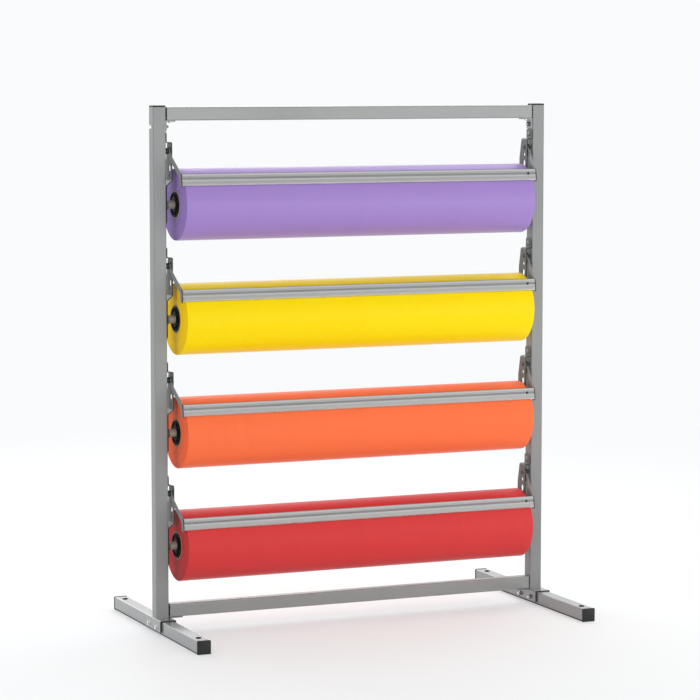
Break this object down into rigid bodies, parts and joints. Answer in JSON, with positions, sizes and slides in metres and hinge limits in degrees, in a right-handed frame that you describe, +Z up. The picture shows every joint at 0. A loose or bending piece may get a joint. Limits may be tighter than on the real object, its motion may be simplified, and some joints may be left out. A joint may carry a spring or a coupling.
{
  "type": "paper roll rack",
  "caption": "Floor rack of square tube that holds wide coloured paper rolls on turning rods, one above another, each with a hinged cutter bar resting on the roll.",
  "frame": {"origin": "on the floor, midway between the two posts and midway along the feet", "axes": "+X along the rolls to the right as seen from the cutter side, +Y to the back, +Z up"},
  "size_m": [1.0486, 0.608, 1.259],
  "materials": {
    "frame_paint": "satin grey powder coat",
    "bracket_paint": "satin grey powder coat",
    "cutter_paint": "satin grey powder coat",
    "blade_steel": "dull ground",
    "zinc_steel": "zinc plated",
    "black_steel": "black oxide",
    "rod_steel": "plain drawn tube",
    "black_plastic": "fine grained",
    "core_board": "raw board",
    "paper_purple": "smooth dyed",
    "paper_yellow": "smooth dyed",
    "paper_orange": "smooth dyed",
    "paper_red": "smooth dyed"
  },
  "bodies": {
    "frame": {"left_post": "frame_paint", "right_post": "frame_paint", "top_rail": "frame_paint", "bottom_rail": "frame_paint", "left_foot": "frame_paint", "right_foot": "frame_paint", "left_saddle": "frame_paint", "right_saddle": "frame_paint", "post_caps": "black_plastic", "foot_caps": "black_plastic", "rail_angles": "frame_paint", "rail_bolts": "zinc_steel", "rail_nuts": "zinc_steel", "rail_screws": "zinc_steel", "saddle_bolts": "zinc_steel", "saddle_nuts": "zinc_steel", "bracket_screws": "zinc_steel", "pivot_bolts": "black_steel", "pivot_washers": "black_steel", "pivot_nuts": "black_steel", "left_bracket_1": "bracket_paint", "right_bracket_1": "bracket_paint", "left_bracket_2": "bracket_paint", "right_bracket_2": "bracket_paint", "left_bracket_3": "bracket_paint", "right_bracket_3": "bracket_paint", "left_bracket_4": "bracket_paint", "right_bracket_4": "bracket_paint"},
    "roll_1": {"paper_roll_1": "paper_purple", "core_1": "core_board", "core_plugs_1": "black_plastic", "rod_1": "rod_steel"},
    "cutter_1": {"cutter_bar_1": "cutter_paint", "cutter_blade_1": "blade_steel", "cutter_arms_1": "cutter_paint", "bar_screws_1": "black_steel"},
    "roll_2": {"paper_roll_2": "paper_yellow", "core_2": "core_board", "core_plugs_2": "black_plastic", "rod_2": "rod_steel"},
    "cutter_2": {"cutter_bar_2": "cutter_paint", "cutter_blade_2": "blade_steel", "cutter_arms_2": "cutter_paint", "bar_screws_2": "black_steel"},
    "roll_3": {"paper_roll_3": "paper_orange", "core_3": "core_board", "core_plugs_3": "black_plastic", "rod_3": "rod_steel"},
    "cutter_3": {"cutter_bar_3": "cutter_paint", "cutter_blade_3": "blade_steel", "cutter_arms_3": "cutter_paint", "bar_screws_3": "black_steel"},
    "roll_4": {"paper_roll_4": "paper_red", "core_4": "core_board", "core_plugs_4": "black_plastic", "rod_4": "rod_steel"},
    "cutter_4": {"cutter_bar_4": "cutter_paint", "cutter_blade_4": "blade_steel", "cutter_arms_4": "cutter_paint", "bar_screws_4": "black_steel"}
  },
  "joints": [
    {"name": "roll_1_spin", "type": "hinge", "parent": "frame", "child": "roll_1", "pos_m": [0, 0, 1.024], "axis": [1, 0, 0], "continuous": true},
    {"name": "cutter_1_lift", "type": "hinge", "parent": "frame", "child": "cutter_1", "pos_m": [0, 0, 1.151], "axis": [-1, 0, 0], "range_deg": [0, 70]},
    {"name": "roll_2_spin", "type": "hinge", "parent": "frame", "child": "roll_2", "pos_m": [0, 0, 0.751], "axis": [1, 0, 0], "continuous": true},
    {"name": "cutter_2_lift", "type": "hinge", "parent": "frame", "child": "cutter_2", "pos_m": [0, 0, 0.878], "axis": [-1, 0, 0], "range_deg": [0, 70]},
    {"name": "roll_3_spin", "type": "hinge", "parent": "frame", "child": "roll_3", "pos_m": [0, 0, 0.478], "axis": [1, 0, 0], "continuous": true},
    {"name": "cutter_3_lift", "type": "hinge", "parent": "frame", "child": "cutter_3", "pos_m": [0, 0, 0.605], "axis": [-1, 0, 0], "range_deg": [0, 70]},
    {"name": "roll_4_spin", "type": "hinge", "parent": "frame", "child": "roll_4", "pos_m": [0, 0, 0.205], "axis": [1, 0, 0], "continuous": true},
    {"name": "cutter_4_lift", "type": "hinge", "parent": "frame", "child": "cutter_4", "pos_m": [0, 0, 0.332], "axis": [-1, 0, 0], "range_deg": [0, 70]}
  ]
}
